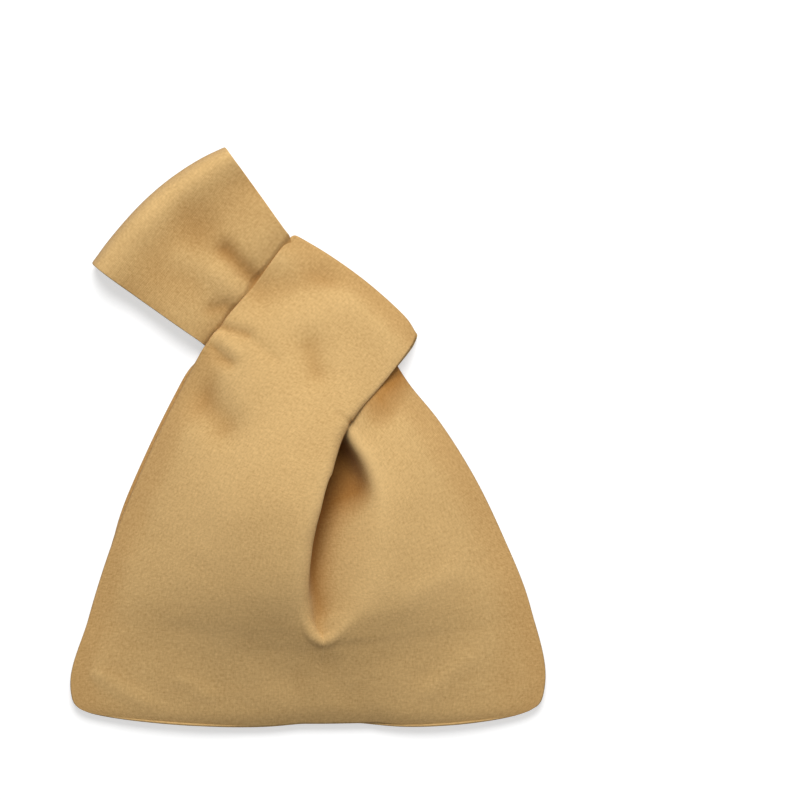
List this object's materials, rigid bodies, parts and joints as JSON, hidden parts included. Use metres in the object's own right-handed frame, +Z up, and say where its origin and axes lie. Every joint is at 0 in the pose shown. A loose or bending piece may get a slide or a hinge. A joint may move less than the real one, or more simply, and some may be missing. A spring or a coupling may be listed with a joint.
{
  "type": "knotted wrist bag",
  "caption": "Soft canvas pouch lying flat, with a short loop and a long strap drawn through it as a knot; the strap's end is the loop for the wrist.",
  "frame": {"origin": "on the table, under the middle of the bag's outline", "axes": "+X to the right and +Y towards the knot as the front is seen, +Z up off the table the bag lies on"},
  "size_m": [0.227, 0.278, 0.0384],
  "materials": {
    "canvas": "ochre plain-weave cotton canvas, matt, soft handle",
    "lining": "light plain cotton lining",
    "seam": "turned canvas allowance with matching thread"
  },
  "bodies": {
    "pouch": {"front_canvas_panel": "canvas", "back_canvas_panel": "canvas", "front_lining_panel": "lining", "back_lining_panel": "lining", "left_side_seam": "seam", "right_side_seam": "seam", "bottom_seam": "seam", "short_loop_top_seam": "seam"},
    "long_strap": {"long_strap_front_canvas": "canvas", "long_strap_back_canvas": "canvas", "long_strap_front_lining": "lining", "long_strap_back_lining": "lining"},
    "wrist_loop": {"wrist_loop_front_canvas": "canvas", "wrist_loop_back_canvas": "canvas", "wrist_loop_front_lining": "lining", "wrist_loop_back_lining": "lining", "wrist_loop_end_seam": "seam"}
  },
  "joints": [
    {"name": "knot_slide", "type": "slide", "parent": "pouch", "child": "long_strap", "axis": [-0.788, 0.6157, 0], "range_m": [0, 0.015]},
    {"name": "wrist_loop_swing", "type": "hinge", "parent": "long_strap", "child": "wrist_loop", "pos_m": [-0.03099, 0.07055, 0.00415], "axis": [0.6157, 0.788, 0], "range_deg": [-90, 90]}
  ]
}
